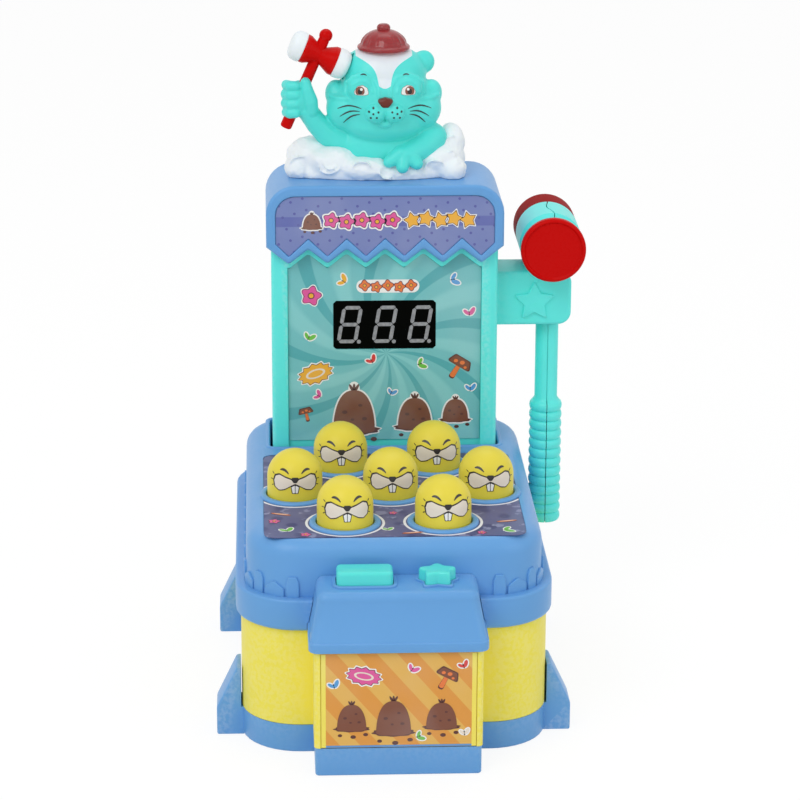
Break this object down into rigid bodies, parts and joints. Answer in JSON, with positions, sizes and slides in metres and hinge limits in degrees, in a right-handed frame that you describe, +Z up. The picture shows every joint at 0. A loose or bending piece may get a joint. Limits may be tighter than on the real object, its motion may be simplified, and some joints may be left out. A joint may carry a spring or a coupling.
{
  "type": "mole pounding game",
  "caption": "Table-top pounding game with sprung moles in a deck, two push buttons, a score tower with a marquee and figure, and a hammer in a side holder.",
  "frame": {"origin": "point of the table under the middle of the moles' deck, on the flat underside of the tray", "axes": "+X to the right as the player sees it, +Y away from the player, +Z up"},
  "size_m": [0.2291, 0.2863, 0.3928],
  "materials": {
    "blue_plastic": "satin moulded",
    "yellow_plastic": "satin moulded",
    "mole_plastic": "satin moulded, printed face",
    "turquoise_plastic": "satin moulded",
    "teal_plastic": "satin moulded",
    "red_plastic": "glossy moulded",
    "dark_red_plastic": "satin moulded",
    "white_plastic": "satin moulded",
    "clear_red_plastic": "translucent",
    "tower_print": "printed sheet",
    "marquee_print": "printed sheet",
    "front_print": "printed sheet",
    "deck_print": "printed sheet",
    "black_plastic": "satin",
    "circuit_board": "glass-fibre laminate with its parts",
    "lamp_clear": "clear",
    "cell_wrap": "printed wrap",
    "steel": "plated"
  },
  "bodies": {
    "body": {"base_tray": "blue_plastic", "battery_door": "blue_plastic", "deck_cover": "blue_plastic", "front_hood": "blue_plastic", "marquee_cap": "blue_plastic", "body_band": "yellow_plastic", "tower_front_shell": "turquoise_plastic", "tower_rear_shell": "turquoise_plastic", "hammer_holder": "turquoise_plastic", "figure_body": "teal_plastic", "mallet_handle": "red_plastic", "mallet_head": "red_plastic", "figure_mound": "white_plastic", "figure_hat": "clear_red_plastic", "tower_label": "tower_print", "marquee_label": "marquee_print", "front_label": "front_print", "deck_label": "deck_print", "display_module": "black_plastic", "speaker": "black_plastic", "power_switch": "black_plastic", "main_board": "circuit_board", "button_board": "circuit_board", "display_board": "circuit_board", "hat_lamp": "lamp_clear", "battery_1": "cell_wrap", "battery_2": "cell_wrap", "battery_3": "cell_wrap", "mole_spring_1": "steel", "mole_spring_2": "steel", "mole_spring_3": "steel", "mole_spring_4": "steel", "mole_spring_5": "steel", "mole_spring_6": "steel", "mole_spring_7": "steel", "battery_contact_front": "steel", "battery_contact_rear": "steel", "battery_door_screw": "steel", "body_screw_1": "steel", "body_screw_2": "steel", "body_screw_3": "steel", "body_screw_4": "steel", "tower_screw_1": "steel", "tower_screw_2": "steel", "tower_screw_3": "steel", "tower_screw_4": "steel"},
    "mole_1": {"mole_1": "mole_plastic"},
    "mole_2": {"mole_2": "mole_plastic"},
    "mole_3": {"mole_3": "mole_plastic"},
    "mole_4": {"mole_4": "mole_plastic"},
    "mole_5": {"mole_5": "mole_plastic"},
    "mole_6": {"mole_6": "mole_plastic"},
    "mole_7": {"mole_7": "mole_plastic"},
    "start_button": {"start_button": "teal_plastic"},
    "star_button": {"star_button": "teal_plastic"},
    "power_slider": {"power_slider": "black_plastic"},
    "hammer": {"hammer_half_left": "turquoise_plastic", "hammer_half_right": "turquoise_plastic", "hammer_cap_front": "red_plastic", "hammer_cap_rear": "dark_red_plastic"}
  },
  "joints": [
    {"name": "mole_1_press", "type": "slide", "parent": "body", "child": "mole_1", "axis": [0, 0, -1], "range_m": [0, 0.009], "stiffness_N_per_m": 120, "springref_m": -0.003, "deforming": ["mole_spring_1"]},
    {"name": "mole_2_press", "type": "slide", "parent": "body", "child": "mole_2", "axis": [0, 0, -1], "range_m": [0, 0.009], "stiffness_N_per_m": 120, "springref_m": -0.003, "deforming": ["mole_spring_2"]},
    {"name": "mole_3_press", "type": "slide", "parent": "body", "child": "mole_3", "axis": [0, 0, -1], "range_m": [0, 0.009], "stiffness_N_per_m": 120, "springref_m": -0.003, "deforming": ["mole_spring_3"]},
    {"name": "mole_4_press", "type": "slide", "parent": "body", "child": "mole_4", "axis": [0, 0, -1], "range_m": [0, 0.009], "stiffness_N_per_m": 120, "springref_m": -0.003, "deforming": ["mole_spring_4"]},
    {"name": "mole_5_press", "type": "slide", "parent": "body", "child": "mole_5", "axis": [0, 0, -1], "range_m": [0, 0.009], "stiffness_N_per_m": 120, "springref_m": -0.003, "deforming": ["mole_spring_5"]},
    {"name": "mole_6_press", "type": "slide", "parent": "body", "child": "mole_6", "axis": [0, 0, -1], "range_m": [0, 0.009], "stiffness_N_per_m": 120, "springref_m": -0.003, "deforming": ["mole_spring_6"]},
    {"name": "mole_7_press", "type": "slide", "parent": "body", "child": "mole_7", "axis": [0, 0, -1], "range_m": [0, 0.009], "stiffness_N_per_m": 120, "springref_m": -0.003, "deforming": ["mole_spring_7"]},
    {"name": "start_button_press", "type": "slide", "parent": "body", "child": "start_button", "axis": [0, 0, -1], "range_m": [0, 0.0025], "stiffness_N_per_m": 300, "springref_m": -0.001},
    {"name": "star_button_press", "type": "slide", "parent": "body", "child": "star_button", "axis": [0, 0, -1], "range_m": [0, 0.0025], "stiffness_N_per_m": 300, "springref_m": -0.001},
    {"name": "power_slider_slide", "type": "slide", "parent": "body", "child": "power_slider", "axis": [1, 0, 0], "range_m": [0, 0.006]},
    {"name": "hammer_lift", "type": "slide", "parent": "body", "child": "hammer", "axis": [0, 0, 1], "range_m": [0, 0.175]}
  ]
}
